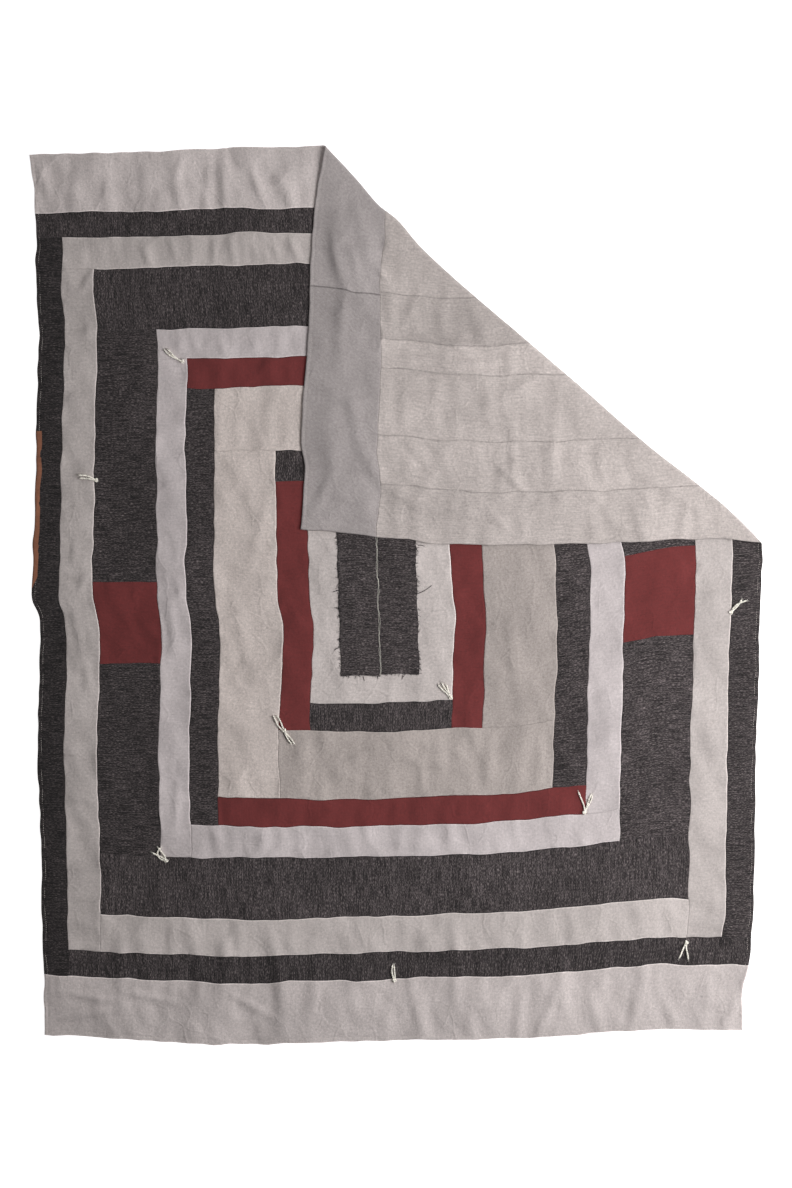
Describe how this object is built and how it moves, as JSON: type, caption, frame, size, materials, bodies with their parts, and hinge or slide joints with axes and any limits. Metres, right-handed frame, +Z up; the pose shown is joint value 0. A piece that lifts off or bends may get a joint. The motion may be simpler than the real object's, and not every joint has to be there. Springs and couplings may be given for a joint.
{
  "type": "pieced throw quilt",
  "caption": "Thin pieced throw quilt lying face up, its top right corner folded over a slant so that the pale pieced back shows, with short yarn ties.",
  "frame": {"origin": "on the floor, under the middle of the quilt's bounding box", "axes": "+X to the quilt's right as seen from above, +Y towards its top edge, +Z up, away from the floor"},
  "size_m": [1.353, 1.6619, 0.0129],
  "materials": {
    "pieced_top": "pieced plain-woven cotton and linen, matt: pale grey, cool grey, oat, charcoal chambray and brick red strips",
    "pieced_back": "washed plain-woven linen in two pale greys, matt",
    "charcoal_chambray": "slubby charcoal chambray, matt, raw edges",
    "tie_yarn": "cream twisted cotton yarn, matt"
  },
  "bodies": {
    "root": {"quilt_top": "pieced_top", "quilt_back": "pieced_back", "centre_patch": "charcoal_chambray", "tie_01": "tie_yarn", "tie_02": "tie_yarn", "tie_03": "tie_yarn", "tie_04": "tie_yarn", "tie_05": "tie_yarn", "tie_06": "tie_yarn", "tie_07": "tie_yarn", "tie_08": "tie_yarn", "tie_09": "tie_yarn"}
  },
  "joints": []
}
